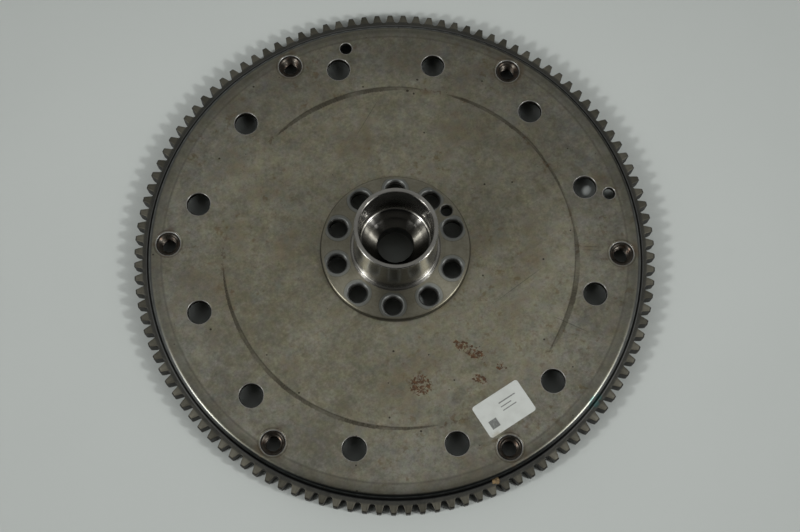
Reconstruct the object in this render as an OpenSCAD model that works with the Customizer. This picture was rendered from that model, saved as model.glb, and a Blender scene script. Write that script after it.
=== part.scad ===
// Flexplate: a pressed steel drive plate with a shrunk-on starter ring gear,
// a turned hub with a socketed spigot, and six threaded nuts for the converter.
// The ring gear's lower face lies on the plane z = 0, and the axis is the Z axis.

/* [Ring gear] */
// Number of starter teeth
tooth_count = 117; // [105:1:135]
// Tooth module, the pitch diameter divided by the number of teeth
tooth_module = 2.5; // [2.3:0.05:2.8]
// Pressure angle of the tooth flanks
pressure_angle = 17.5; // [14.5:0.5:25]
// Face width of the ring gear
ring_width = 10; // [8:0.5:14]
// Radial wall between the tooth roots and the ring's bore
ring_wall = 3.1; // [2:0.1:5]
// Chamfer turned on the tooth tips, above and below
tip_chamfer = 0.8; // [0.2:0.1:1.2]
// Chamfer at the ring's bore, above and below
ring_bore_chamfer = 1; // [0.2:0.1:1.5]

/* [Drive plate] */
// Thickness of the sheet
sheet = 3; // [2:0.1:4]
// Height of the plate's upper face above the ring gear
plate_rise = 3; // [1.5:0.1:5]
// Outer radius of the bend at the rim
rim_bend = 3; // [2.5:0.1:4.5]
// Gap left between the rim's lower edge and the resting plane
rim_lift = 2; // [0.5:0.1:4]
// Distance of the pressing line from the rim's outside
press_line_inset = 7.7; // [6.5:0.1:9]
// Width of the pressing line
press_line_width = 0.9; // [0.4:0.1:1.5]
// Depth of the pressing line
press_line_depth = 0.15; // [0.1:0.05:0.6]

/* [Plate holes] */
// Distance of the paired holes inside the nut circle
pair_inset = 13.2; // [11:0.1:20]
// Diameter of a paired hole
pair_hole = 13.2; // [9:0.1:15]
// Angle from the middle of a pair to each of its holes
pair_half_angle = 14; // [8:0.5:16]
// Angle from a nut to the middle of the next pair
pair_turn = 34; // [30:0.5:35]
// Edge break on the holes in the plate
hole_edge = 0.4; // [0.1:0.05:0.8]
// Distance of the pick-up holes inside the nut circle
pickup_inset = 1; // [0:0.1:2]
// Diameter of a pick-up hole
pickup_hole = 6.8; // [4:0.1:8]
// Angle from a pick-up hole to the paired hole beside it
pickup_lead = 3.6; // [2:0.1:6]

/* [Converter nuts] */
// Number of nuts for the converter
nut_count = 6; // [3:1:6]
// Nominal diameter of the nut's thread
nut_thread = 10; // [8:0.5:12]
// Wall of the collar that stands in the plate
collar_wall = 1.7; // [1.2:0.1:2.5]
// Distance of the collar's face below the plate's upper face
nut_sink = 0.9; // [0.3:0.1:1.5]
// Width of the shoulder between the collar and the flats
nut_shoulder = 1.05; // [0.8:0.05:2]
// Height of the nut's body under the plate
nut_height = 7; // [4:0.5:7.5]
// Countersink at both ends of the thread
nut_countersink = 0.9; // [0.2:0.1:1.1]
// Edge break on the nut's six corners
nut_corner = 0.9; // [0.3:0.1:1.2]
// Width of the flattened ring round each nut
nut_spot_width = 1.3; // [0.5:0.1:2]
// Depth of the flattened ring round each nut
nut_spot_depth = 0.2; // [0.1:0.05:0.3]

/* [Hub flange] */
// Thickness of the flange
flange_thickness = 3.5; // [2.5:0.1:6]
// Width of the land outside the crank bolt holes
flange_land = 2.75; // [2.5:0.05:8]
// Edge break on the flange's rim
flange_edge = 0.5; // [0.1:0.1:1]
// Number of equal spaces between neighbouring crank bolts
bolt_spaces = 9; // [5:1:9]
// Angle between neighbouring crank bolts
bolt_step = 35.5; // [34:0.1:36]
// Radius of the crank bolt circle
bolt_circle = 34.4; // [33.5:0.1:40]
// Diameter of a crank bolt hole
bolt_hole = 10.5; // [8:0.1:11]
// Countersink of a crank bolt hole
bolt_countersink = 1; // [0.3:0.1:1.3]
// Distance of the dowel hole outside the bolt circle
dowel_outset = 2.1; // [0:0.1:3]
// Diameter of the dowel hole
dowel_hole = 6.8; // [4:0.1:7.5]

/* [Hub spigot] */
// Height of the spigot's rim above the plate's upper face
spigot_height = 38.2; // [32:0.1:50]
// Radius of the spigot at its rim
spigot_radius = 23.1; // [21:0.1:24]
// Growth of the spigot's radius from rim to foot
spigot_taper = 0.5; // [0.1:0.1:1]
// Wall of the spigot at its rim
spigot_wall = 2.7; // [2:0.1:4]
// Fillet between the spigot and the flange
spigot_fillet = 1; // [0.4:0.1:1.5]
// Edge break on the spigot's rim
spigot_edge = 0.4; // [0.1:0.1:0.7]
// Land between the foot's fillet and the relief groove
relief_land = 0.35; // [0.1:0.05:0.8]
// Width of the relief groove round the spigot's foot
relief_width = 0.9; // [0.4:0.1:1.2]
// Depth of the relief groove
relief_depth = 0.45; // [0.2:0.05:0.8]

/* [Hub socket] */
// Height of the socket's ledge above the plate's upper face
socket_floor = 13; // [11:0.1:18]
// Fillet between the socket's wall and its ledge
socket_fillet = 1.8; // [0.8:0.1:2.5]
// Width of the ledge in the socket
ledge_width = 3.1; // [1.5:0.1:4.5]
// Drop of the ledge towards the axis
ledge_drop = 2.4; // [0.5:0.1:3.5]
// Drop of the cone between the ledge and the bore
cone_drop = 3.5; // [1.5:0.1:5]
// Radius of the bore through the hub
bore_radius = 10.3; // [8:0.1:12]
// Radius of the register that centres the hub in the plate
register_radius = 22; // [19:0.1:26]
// Edge break at the hub's lower end
register_edge = 0.5; // [0.2:0.1:0.8]

/* [Fits] */
// Radial gap between the plate's rim and the ring gear's bore
ring_fit = 0.02; // [0.01:0.01:0.1]
// Radial gap between the hub's register and the plate
register_fit = 0.05; // [0.02:0.01:0.2]
// Radial gap between a nut's collar and its hole
collar_fit = 0.1; // [0.05:0.01:0.2]
// Gap between a nut's flats and the bend of the rim
nut_rim_fit = 0.35; // [0.2:0.05:1]

/* [Hidden] */
$fn = 180;
// How far a cutter stands proud of the face that it cuts
over = 1;
// Depth of a tooth below the pitch circle, in modules
dedendum = 1.05;
// Height of the round root above the root circle, in modules
root_round = 0.3;
// Number of straight steps that stand for a tooth's flank
flank_steps = 4;
// Least inner radius of the bend at the rim
least_bend = 0.2;
// Sides of a nut, and the angle from the middle of a side to a corner
nut_sides = 6;
side_half = 180 / nut_sides;
// A full turn, shared out between the features that repeat
full_turn = 360;

// Ring gear radii, from the module
pitch_radius = tooth_module * tooth_count / 2;
tip_radius = pitch_radius + tooth_module;
root_radius = pitch_radius - dedendum * tooth_module;
base_radius = pitch_radius * cos(pressure_angle);
ring_bore = root_radius - ring_wall;
tooth_pitch = full_turn / tooth_count;

// Heights above the resting plane
plate_top = ring_width + plate_rise;
plate_under = plate_top - sheet;
flange_top = plate_top + flange_thickness;
spigot_top = plate_top + spigot_height;
ledge_top = plate_top + socket_floor;
cone_top = ledge_top - ledge_drop;
bore_top = cone_top - cone_drop;
nut_seat = plate_top - nut_spot_depth;
collar_top = plate_top - nut_sink;
nut_bottom = plate_under - nut_height;

// Plate radii, from the ring gear's bore inwards
rim_radius = ring_bore - ring_fit;
rim_inside = rim_radius - sheet;
inner_bend = max(rim_bend - sheet, least_bend);
press_line_radius = rim_radius - press_line_inset;
plate_centre = register_radius + register_fit;

// Nut sizes and the circles of the plate's holes
nut_collar = nut_thread + 2 * collar_wall;
nut_flats = nut_collar + 2 * nut_shoulder;
nut_points = nut_flats / cos(side_half);
nut_hole = nut_collar + 2 * collar_fit;
nut_spot = nut_hole + 2 * nut_spot_width;
nut_circle = rim_inside - inner_bend - nut_rim_fit - nut_flats / 2;
pair_circle = nut_circle - pair_inset;
pickup_circle = nut_circle - pickup_inset;

// Hub radii, from the bolts and from the spigot
flange_radius = bolt_circle + bolt_hole / 2 + flange_land;
dowel_circle = bolt_circle + dowel_outset;
spigot_foot_radius = spigot_radius + spigot_taper;
relief_radius = spigot_foot_radius + spigot_fillet + relief_land + relief_width / 2;
socket_radius = spigot_radius - spigot_wall;
ledge_radius = socket_radius - socket_fillet - ledge_width;

// Angles of the features that repeat round the axis
nut_step = full_turn / nut_count;
nut_angles = [for (k = [0 : nut_count - 1]) k * nut_step];
pair_angles = [for (a = nut_angles, side = [-1, 1]) a + pair_turn + side * pair_half_angle];
pickup_angles = [
    pair_turn - pair_half_angle - pickup_lead,
    nut_step + pair_turn + pair_half_angle - pickup_lead
];
bolt_first = (full_turn - bolt_spaces * bolt_step) / 2;
bolt_angles = [for (k = [0 : bolt_spaces]) bolt_first + k * bolt_step];
dowel_angle = bolt_first + bolt_step / 2;

// A right-angled corner to be cut away outside a quarter circle of radius r.
// The corner lies at [x, y], and the signs point from the arc's centre to it.
module corner_waste(x, y, r, sx, sy) {
    translate([x - sx * r, y - sy * r])
        difference() {
            translate([sx > 0 ? 0 : -r - over, sy > 0 ? 0 : -r - over])
                square(r + over);
            circle(r);
        }
}

// A round hole along Z, to be cut from a wall between two heights.
module drilled(d, low, high) {
    translate([0, 0, low - over])
        cylinder(d = d, h = high - low + 2 * over);
}

// A countersink at the upper end of a hole, as wide again as it is deep.
module countersunk(d, high, depth) {
    translate([0, 0, high - depth])
        cylinder(d1 = d, d2 = d + 2 * (depth + over), h = depth + over);
}

// Repeats its children round the axis, once for each angle in a list.
module at_angles(angles, radius) {
    for (a = angles)
        rotate([0, 0, a])
            translate([radius, 0, 0])
                children();
}

// Half section of the pressed plate: a flat disc with its rim bent down.
module plate_section() {
    difference() {
        translate([plate_centre, rim_lift])
            square([rim_radius - plate_centre, plate_top - rim_lift]);
        difference() {
            translate([plate_centre - over, rim_lift - over])
                square([rim_inside - plate_centre + over, plate_under - rim_lift + over]);
            corner_waste(rim_inside, plate_under, inner_bend, 1, 1);
        }
        corner_waste(rim_radius, plate_top, rim_bend, 1, 1);
    }
}

// Half section of the pressing line, a shallow groove in the plate's upper face.
module press_line_section() {
    translate([press_line_radius, plate_top])
        polygon([
            [-press_line_width / 2, 0],
            [0, -press_line_depth],
            [press_line_width / 2, 0],
            [0, over]
        ]);
}

// The pressing line runs round the plate and stops short of each flattened ring.
module press_line() {
    difference() {
        rotate_extrude()
            press_line_section();
        at_angles(nut_angles, nut_circle)
            translate([0, 0, plate_top - over])
                cylinder(d = nut_spot + 2 * press_line_width, h = 3 * over);
    }
}

module drive_plate() {
    color("dimgray")
        difference() {
            rotate_extrude()
                plate_section();
            press_line();
            at_angles(pair_angles, pair_circle) {
                drilled(pair_hole, plate_under, plate_top);
                countersunk(pair_hole, plate_top, hole_edge);
            }
            at_angles(pickup_angles, pickup_circle) {
                drilled(pickup_hole, plate_under, plate_top);
                countersunk(pickup_hole, plate_top, hole_edge);
            }
            at_angles(nut_angles, nut_circle) {
                drilled(nut_hole, plate_under, plate_top);
                countersunk(nut_hole, nut_seat, hole_edge);
                translate([0, 0, nut_seat])
                    cylinder(d = nut_spot, h = nut_spot_depth + over);
            }
            at_angles(bolt_angles, bolt_circle)
                drilled(bolt_hole, plate_under, plate_top);
            at_angles([dowel_angle], dowel_circle)
                drilled(dowel_hole, plate_under, plate_top);
        }
}

// Half the angle that a tooth spans at radius r, with involute flanks.
function roll(angle) = tan(angle) * 180 / PI - angle;
function half_tooth(r) =
    tooth_pitch / 4 + roll(pressure_angle) - roll(acos(min(1, base_radius / r)));
function polar(r, a) = [r * cos(a), r * sin(a)];

// Radii at which a flank is drawn, from the top of the root arc to the tip
flank_low = root_radius + root_round * tooth_module;
flank_radii = [for (k = [0 : flank_steps]) flank_low + (tip_radius - flank_low) * k / flank_steps];

// The space between two teeth, drawn on the X axis: two flanks and a round root.
module tooth_space() {
    half = tooth_pitch / 2;
    mouth = polar(flank_low, half - half_tooth(flank_low));
    root_sag = mouth[0] - root_radius;
    root_arc = (mouth[1] * mouth[1] + root_sag * root_sag) / (2 * root_sag);
    outside = tip_radius + over;
    opening = half - half_tooth(tip_radius);
    polygon(concat(
        [for (r = flank_radii) polar(r, -(half - half_tooth(r)))],
        [polar(outside, -opening), polar(outside, opening)],
        [for (k = [flank_steps : -1 : 0]) polar(flank_radii[k], half - half_tooth(flank_radii[k]))]
    ));
    translate([root_radius + root_arc, 0])
        circle(root_arc);
}

// Half section of the gear blank, turned before the teeth are cut.
module blank_section() {
    polygon([
        [ring_bore + ring_bore_chamfer, 0],
        [tip_radius - tip_chamfer, 0],
        [tip_radius, tip_chamfer],
        [tip_radius, ring_width - tip_chamfer],
        [tip_radius - tip_chamfer, ring_width],
        [ring_bore + ring_bore_chamfer, ring_width],
        [ring_bore, ring_width - ring_bore_chamfer],
        [ring_bore, ring_bore_chamfer]
    ]);
}

module ring_gear() {
    color("darkgray")
        difference() {
            rotate_extrude()
                blank_section();
            translate([0, 0, -over])
                linear_extrude(ring_width + 2 * over)
                    for (k = [0 : tooth_count - 1])
                        rotate(tooth_pitch * (k + 0.5))
                            tooth_space();
        }
}

// Half section of the turned hub, without its fillets and grooves.
module hub_outline() {
    polygon([
        [bore_radius, plate_under + register_edge],
        [bore_radius + register_edge, plate_under],
        [register_radius - register_edge, plate_under],
        [register_radius, plate_under + register_edge],
        [register_radius, plate_top],
        [flange_radius, plate_top],
        [flange_radius, flange_top - flange_edge],
        [flange_radius - flange_edge, flange_top],
        [spigot_foot_radius, flange_top],
        [spigot_radius, spigot_top - spigot_edge],
        [spigot_radius - spigot_edge, spigot_top],
        [socket_radius + spigot_edge, spigot_top],
        [socket_radius, spigot_top - spigot_edge],
        [socket_radius, ledge_top],
        [socket_radius - socket_fillet, ledge_top],
        [ledge_radius, cone_top],
        [bore_radius, bore_top]
    ]);
}

module hub_section() {
    difference() {
        union() {
            hub_outline();
            corner_waste(spigot_foot_radius, flange_top, spigot_fillet, -1, -1);
            corner_waste(socket_radius, ledge_top, socket_fillet, 1, -1);
        }
        translate([relief_radius, flange_top])
            polygon([
                [-relief_width / 2, 0],
                [0, -relief_depth],
                [relief_width / 2, 0],
                [0, over]
            ]);
    }
}

module hub() {
    color("lightgray")
        difference() {
            rotate_extrude()
                hub_section();
            at_angles(bolt_angles, bolt_circle) {
                drilled(bolt_hole, plate_top, flange_top);
                countersunk(bolt_hole, flange_top, bolt_countersink);
            }
            at_angles([dowel_angle], dowel_circle) {
                drilled(dowel_hole, plate_top, flange_top);
                countersunk(dowel_hole, flange_top, hole_edge);
            }
        }
}

// One nut with its collar, upright on its own axis.
module nut() {
    difference() {
        union() {
            translate([0, 0, nut_bottom])
                intersection() {
                    rotate([0, 0, side_half])
                        cylinder(d = nut_points, h = nut_height, $fn = nut_sides);
                    cylinder(d = nut_points - nut_corner, h = nut_height);
                }
            translate([0, 0, plate_under - over])
                cylinder(d = nut_collar, h = collar_top - plate_under + over);
        }
        drilled(nut_thread, nut_bottom, collar_top);
        countersunk(nut_thread, collar_top, nut_countersink);
        mirror([0, 0, 1])
            countersunk(nut_thread, -nut_bottom, nut_countersink);
    }
}

module converter_nuts() {
    color("sienna")
        at_angles(nut_angles, nut_circle)
            nut();
}

drive_plate();
ring_gear();
hub();
converter_nuts();
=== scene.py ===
# %% [markdown]
# # A flexplate on a pale sheet
# A flexplate joins an engine's crankshaft to its torque converter. This one is a pressed
# steel plate with a starter ring shrunk on its rim, a turned hub in its middle and six
# threaded nuts near its edge. The CAD model gives every size; this lesson gives the part
# the surfaces that a camera sees. Each piece is worked out with numpy as a function of two
# parameters, so that its edges can be rounded and its finish can follow its own shape.

# %% Open the frame
import functools
import math

import bmesh
import bpy
import numpy as np
from mathutils import Matrix, Vector


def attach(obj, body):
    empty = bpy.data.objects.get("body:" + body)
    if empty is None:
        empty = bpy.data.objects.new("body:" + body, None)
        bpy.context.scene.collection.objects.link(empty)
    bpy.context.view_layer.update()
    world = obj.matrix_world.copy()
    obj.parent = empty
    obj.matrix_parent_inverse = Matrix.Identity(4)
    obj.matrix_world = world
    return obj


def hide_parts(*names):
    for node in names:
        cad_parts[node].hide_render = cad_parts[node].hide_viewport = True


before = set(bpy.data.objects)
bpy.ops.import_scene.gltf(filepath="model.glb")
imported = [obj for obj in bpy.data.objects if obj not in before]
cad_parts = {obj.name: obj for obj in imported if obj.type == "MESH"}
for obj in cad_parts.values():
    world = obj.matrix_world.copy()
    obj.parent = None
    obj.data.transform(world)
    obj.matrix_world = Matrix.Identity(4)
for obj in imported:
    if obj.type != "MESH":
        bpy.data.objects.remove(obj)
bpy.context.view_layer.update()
MM = 0.001

# %% [markdown]
# ## The camera
# A lens is described by its focal length, and a view by where the camera stands and how it
# is turned. Both were fitted to the circles of holes in the picture, so the render can be
# laid over it. The camera is built from three directions: forward, right and up, with a
# small roll because it was held by hand.

# %% Camera
LOOK_AT = Vector((2.83, -10.29, 13.0)) * MM
CAMERA_DISTANCE = 0.7055
CAMERA_TURN = math.radians(-1.76)
CAMERA_RISE = math.radians(73.755)
CAMERA_ROLL = math.radians(2.902)
LENS = 55.98

forward = Vector((
    -math.sin(CAMERA_TURN) * math.cos(CAMERA_RISE),
    math.cos(CAMERA_TURN) * math.cos(CAMERA_RISE),
    -math.sin(CAMERA_RISE),
))
right = Vector((math.cos(CAMERA_TURN), math.sin(CAMERA_TURN), 0))
up = right.cross(forward)
side = right * math.cos(CAMERA_ROLL) + up * math.sin(CAMERA_ROLL)
top = up * math.cos(CAMERA_ROLL) - right * math.sin(CAMERA_ROLL)

camera = bpy.data.objects.new("camera", bpy.data.cameras.new("camera"))
bpy.context.collection.objects.link(camera)
camera.data.sensor_width = 36
camera.data.lens = LENS
turn = Matrix((side, top, -forward)).transposed().to_4x4()
camera.matrix_world = Matrix.Translation(LOOK_AT - forward * CAMERA_DISTANCE) @ turn
bpy.context.scene.camera = camera
bpy.context.scene.view_settings.view_transform = "Standard"
print("camera stands at", [round(c, 4) for c in camera.location])

# %% [markdown]
# ## Light
# The picture has two small lamps, one on the left and one on the right: each tooth throws a
# shadow to both sides, and every polished edge has a pair of glints. Round each lamp the room
# glows. Overhead, leaning back, hangs a soft ceiling; the sides and the back are dim, and the
# front is dark. One bright colour all round would light the part too, but metal mirrors its
# room, and would then look like chalk. So the room's light is a formula of the direction.
# Materials need formulas as well, so two helpers come first: add places a node, and a Field is
# a node's output to reckon with.

# %% Node helpers
def add(tree, kind, inputs=None, **settings):
    """Adds a node, sets its options, and fills each named input with a value or a link."""
    made = tree.nodes.new(kind)
    for key, value in settings.items():
        setattr(made, key, value)
    for key, value in (inputs or {}).items():
        value = getattr(value, "socket", value)
        if isinstance(value, bpy.types.NodeSocket):
            tree.links.new(value, made.inputs[key])
        else:
            made.inputs[key].default_value = value
    return made


class Field:
    """A number that changes from place to place: a node's output that formulas can use."""

    def __init__(self, tree, socket):
        self.tree = tree
        self.socket = socket

    def math(self, operation, *others):
        """One Math node on this field and the others, in order."""
        values = dict(enumerate((self, *others)))
        made = add(self.tree, "ShaderNodeMath", values, operation=operation)
        return Field(self.tree, made.outputs[0])

    def __add__(self, other):
        return self.math("ADD", other)

    def __sub__(self, other):
        return self.math("SUBTRACT", other)

    def __mul__(self, other):
        return self.math("MULTIPLY", other)

    def __abs__(self):
        return self.math("ABSOLUTE")

    def most(self, other):
        """The larger of two fields."""
        return self.math("MAXIMUM", other)

    def ramp(self, low, high, start=0.0, end=1.0, smooth=True):
        """Runs from start to end while this field goes from low to high, and stays there."""
        made = add(
            self.tree, "ShaderNodeMapRange", {0: self, 1: low, 2: high, 3: start, 4: end},
            interpolation_type="SMOOTHSTEP" if smooth else "LINEAR",
        )
        return Field(self.tree, made.outputs[0])

    def blend(self, first, second):
        """The colour between first and second, with this field as the share of second."""
        return add(self.tree, "ShaderNodeMix", {0: self, 6: first, 7: second}, data_type="RGBA").outputs[2]


print("node helpers ready")

# %% Lamps
LAMPS = {"left_lamp": (-151.5, 37.5), "right_lamp": (-24.0, 39.5)}
LAMP_DISTANCE = 1.3
LAMP_WIDTH = 0.14
LAMP_POWER = 4.5

lamp_ways = []
for name, (degrees_round, degrees_up) in LAMPS.items():
    a = math.radians(degrees_round)
    lift = math.radians(degrees_up)
    way = Vector((math.cos(lift) * math.cos(a), math.cos(lift) * math.sin(a), math.sin(lift)))
    lamp_ways.append(way)
    lamp = bpy.data.objects.new(name, bpy.data.lights.new(name, "AREA"))
    lamp.data.shape = "DISK"
    lamp.data.size = LAMP_WIDTH
    lamp.data.energy = LAMP_POWER
    lamp.location = way * LAMP_DISTANCE
    lamp.rotation_euler = way.to_track_quat("Z", "Y").to_euler()
    bpy.context.collection.objects.link(lamp)
print("lamps:", list(LAMPS))

# %% Room
FRONT, SIDES, CEILING, LAMP_GLOW = 0.02, 0.16, 0.28, 2.4
FRONT_END, SIDES_START = -0.2, 0.4
CEILING_LEAN = math.radians(28)
CEILING_SPREAD, LAMP_SPREAD = (0.75, 0.99), (0.93, 0.999)
ROOM_COLOUR = (1.0, 1.0, 0.985, 1)

world = bpy.data.worlds.new("room")
bpy.context.scene.world = world
world.use_nodes = True
sky = world.node_tree
sky.nodes.clear()
direction = add(sky, "ShaderNodeTexCoord").outputs["Generated"]
axes = add(sky, "ShaderNodeSeparateXYZ", {0: direction}).outputs
deep, height = Field(sky, axes[1]), Field(sky, axes[2])
leaning = height * math.cos(CEILING_LEAN) + deep * math.sin(CEILING_LEAN)
around = deep.ramp(FRONT_END, SIDES_START, FRONT, SIDES)
overhead = leaning.ramp(*CEILING_SPREAD, 0.0, CEILING - SIDES)
facing = []
for way in lamp_ways:
    dot = add(sky, "ShaderNodeVectorMath", {0: direction, 1: way}, operation="DOT_PRODUCT")
    facing.append(Field(sky, dot.outputs["Value"]).ramp(*LAMP_SPREAD))
strength = around + overhead + facing[0].most(facing[1]) * LAMP_GLOW
background = add(sky, "ShaderNodeBackground", {"Color": ROOM_COLOUR, "Strength": strength})
add(sky, "ShaderNodeOutputWorld", {"Surface": background.outputs[0]})
print("room: a soft ceiling, a glow round each lamp, dim sides and a dark front")

# %% [markdown]
# ## From grids to meshes
# A grid of points is the simplest surface: its rows and columns are the two parameters, and
# each small square between four points is a face. A piece is made of several grids whose
# borders share their points. The helper below lays the grids down, welds the borders, turns
# the faces outwards and keeps an edge sharp where two faces meet at a steep angle. A grid
# can also carry marks, numbers that a material may read at every point.

# %% Grids
WELD = 0.004
WHOLE_TURN = np.arange(0, 360, 0.5)
HUB_TURN = np.arange(0.5, 360, 1.0)


def grid_faces(rows, columns, first, wrap_rows, wrap_columns):
    """Squares of a grid numbered row by row; a wrapped side joins its last line to its first."""
    r = np.arange(rows if wrap_rows else rows - 1)[:, None]
    c = np.arange(columns if wrap_columns else columns - 1)[None, :]
    below, beside = (r + 1) % rows, (c + 1) % columns
    corners = [r * columns + c, r * columns + beside, below * columns + beside, below * columns + c]
    return first + np.stack(np.broadcast_arrays(*corners), -1).reshape(-1, 4)


class Sheet:
    """A grid of points in millimetres, with marks for its material."""

    def __init__(self, points, wrap_rows=False, wrap_columns=False, **marks):
        self.points = points
        self.wrap = wrap_rows, wrap_columns
        self.marks = marks


print("columns in a whole turn:", len(WHOLE_TURN), "and on the hub:", len(HUB_TURN))


# %% Pieces
def make_piece(name, sheets, marks=(), crease=32, replaced=None):
    """Joins sheets into one mesh, welds their borders and turns the faces outwards."""
    points = np.concatenate([s.points.reshape(-1, 3) for s in sheets]) * MM
    faces, first = [], 0
    for s in sheets:
        rows, columns = s.points.shape[:2]
        faces.append(grid_faces(rows, columns, first, *s.wrap))
        first += rows * columns
    mesh = bpy.data.meshes.new(name)
    mesh.from_pydata(points.tolist(), [], np.concatenate(faces).tolist())
    for mark in marks:
        values = [np.broadcast_to(s.marks.get(mark, 0.0), s.points.shape[:2]) for s in sheets]
        flat = np.concatenate([v.reshape(-1) for v in values]).astype(np.float32)
        mesh.attributes.new(mark, "FLOAT", "POINT").data.foreach_set("value", flat)
    work = bmesh.new()
    work.from_mesh(mesh)
    bmesh.ops.remove_doubles(work, verts=work.verts, dist=WELD * MM)
    bmesh.ops.recalc_face_normals(work, faces=work.faces)
    open_edges = sum(1 for e in work.edges if not e.is_manifold)
    work.to_mesh(mesh)
    work.free()
    mesh.shade_smooth()
    mesh.set_sharp_from_angle(angle=math.radians(crease))
    piece = bpy.data.objects.new(name, mesh)
    bpy.context.collection.objects.link(piece)
    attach(piece, "root")
    if replaced:
        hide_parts(replaced)
    print(name, len(mesh.polygons), "faces, open edges:", open_edges)
    return piece


# %% [markdown]
# ## Profiles
# Turned and pressed pieces start from a profile, a line of points with a radius and a height.
# A modifier could bevel the finished mesh, but rounding the profile's corners before it goes
# round the axis gives clean rows, and each corner its own round.

# %% Profile helpers
def rounded(corners, steps=4):
    """A profile from corners (radius, height, cut): each corner is cut back by cut along both
    sides, and a parabola bridges the gap."""
    corners = np.array(corners, float)
    line = []
    for i, (r, z, cut) in enumerate(corners):
        here = np.array([r, z])
        if cut == 0:
            line.append(here[None])
            continue
        before, after = corners[i - 1, :2] - here, corners[(i + 1) % len(corners), :2] - here
        start = here + before / np.linalg.norm(before) * cut
        end = here + after / np.linalg.norm(after) * cut
        t = np.linspace(0, 1, steps + 1)[:, None]
        line.append((1 - t) ** 2 * start + 2 * t * (1 - t) * here + t ** 2 * end)
    return np.concatenate(line)


def turned(profile, angles=WHOLE_TURN):
    """Surface of revolution: each profile point (r, z) goes round the axis at every angle."""
    r, z = profile[:, 0, None], profile[:, 1, None]
    a = np.radians(angles)[None, :]
    return np.stack([r * np.cos(a), r * np.sin(a), z + 0 * a], -1)


def polar(radius, degrees):
    """Points at radii and angles, as x and y."""
    a = np.radians(degrees)
    return np.stack([radius * np.cos(a), radius * np.sin(a)], -1)


def spun(points, angle):
    """Points turned about the axis: x cos a - y sin a, and x sin a + y cos a; heights stay."""
    x, y = points[..., 0], points[..., 1]
    turned_x = x * math.cos(angle) - y * math.sin(angle)
    turned_y = x * math.sin(angle) + y * math.cos(angle)
    return np.stack([turned_x, turned_y, points[..., 2]], -1)


print("profile helpers ready")

# %% [markdown]
# ## Flat faces with round holes
# A flat ring with holes is awkward as a grid, because a grid has no holes. The answer is to
# divide the ring into cells, one round each hole. From every point on the cell's border a
# straight ray runs to the hole's centre and stops at the hole's edge. Along the rays the
# rows go over the top face, down the wall of the hole and back over the lower face.

# %% Cells
def arc_steps(start, end, step=0.5):
    """Angles from start to end in equal steps."""
    return start + np.arange(round((end - start) / step) + 1) * step


def cell_border(inner, outer, start, end, radii, step=0.5):
    """Border of a ring cell, anticlockwise: outer arc, side, inner arc, side."""
    a = arc_steps(start, end, step)
    r = radii[(radii >= inner - 1e-6) & (radii <= outer + 1e-6)]
    radius = np.concatenate([np.full(len(a), outer), r[::-1][1:], np.full(len(a) - 1, inner), r[1:-1]])
    angle = np.concatenate([a, np.full(len(r) - 1, end), a[::-1][1:], np.full(len(r) - 2, start)])
    return polar(radius, angle)


def hole_rows(wall, share):
    """Rows for a holed cell: lower face inwards, the hole's wall upwards, upper face outwards.
    wall lists (radius, height) up the wall; each row is (radius, height, share of the ray)."""
    low = [(wall[0, 0], wall[0, 1], s) for s in (1.0, 0.4)]
    high = [(wall[-1, 0], wall[-1, 1], s) for s in share[1:]]
    return np.concatenate([low, np.column_stack([wall, np.zeros(len(wall))]), high])


def edge_mark(rows, low, high):
    """1 on the rows of a hole's upper edge, between two heights, and 0 elsewhere."""
    on_wall = rows[:, 2] == 0
    return (on_wall & (rows[:, 1] > low) & (rows[:, 1] <= high)).astype(float)[:, None]


def holed_cell(border, centre, rows):
    """Each point lies on the ray from centre to a border point, at radius + share * (reach - radius).
    The second result is each point's distance outside the hole."""
    ray = border - centre
    reach = np.linalg.norm(ray, axis=1)
    radius, height, share = (rows[:, i, None] for i in range(3))
    along = radius + share * (reach[None, :] - radius)
    place = centre + (ray / reach[:, None])[None] * along[..., None]
    return np.concatenate([place, np.broadcast_to(height, along.shape)[..., None]], -1), along - radius


def plain_cell(radii, start, end, height):
    """A ring cell without a hole at one height."""
    a = arc_steps(start, end)
    flat = polar(radii[:, None], a[None, :])
    return np.concatenate([flat, np.full(flat.shape[:2] + (1,), height)], -1)


FACE_SHARE = np.array([0, 0.06, 0.16, 0.3, 0.5, 0.75, 1.0])
print("rows on a holed face:", len(FACE_SHARE))

# %% [markdown]
# ## The hub
# The hub is turned from a bar: a flange for the crankshaft bolts, a tall spigot, and inside
# it a socket with a ledge and a cone that leads into the bore. Turned parts are surfaces of
# revolution, so a profile goes round the axis. Every corner of the profile gets a small
# round, because a polished edge in the picture is a bright line, and a perfectly sharp edge
# has no width to shine. The flange with its ten bolt holes and one dowel hole is made of cells.

# %% Hub profiles
PLATE_TOP, PLATE_UNDER, FLANGE_TOP, SPIGOT_TOP = 13.0, 10.0, 16.5, 51.2
BORE_TOP, CONE_TOP, LEDGE_LOW, LEDGE_TOP = 20.1, 23.6, 26.0, 26.6
FLANGE_RADIUS, SPIGOT_RADIUS, SPIGOT_FOOT, SOCKET_RADIUS = 42.4, 23.1, 23.6, 20.4
BORE_RADIUS, CONE_RADIUS, LEDGE_RADIUS, REGISTER_RADIUS = 10.3, 15.5, 18.6, 22.0
FLANGE_BREAK, SPIGOT_BREAK, LOWER_BREAK = 0.5, 0.4, 0.5
RELIEF_RADIUS, RELIEF_HALF, RELIEF_DEPTH = 25.4, 0.45, 0.45
BOLT_CIRCLE, BOLT_RADIUS, BOLT_SINK = 34.4, 5.25, 1.0
BOLT_ANGLES = 20.25 + 35.5 * np.arange(10)
DOWEL_CIRCLE, DOWEL_RADIUS, DOWEL_ANGLE, DOWEL_SINK = 36.5, 3.4, 38.0, 0.4
FLANGE_CELLS = [0.5, 31.5, 44.5, 73.5, 109.5, 144.5, 180.5, 215.5, 251.5, 286.5, 322.5, 360.5]
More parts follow.
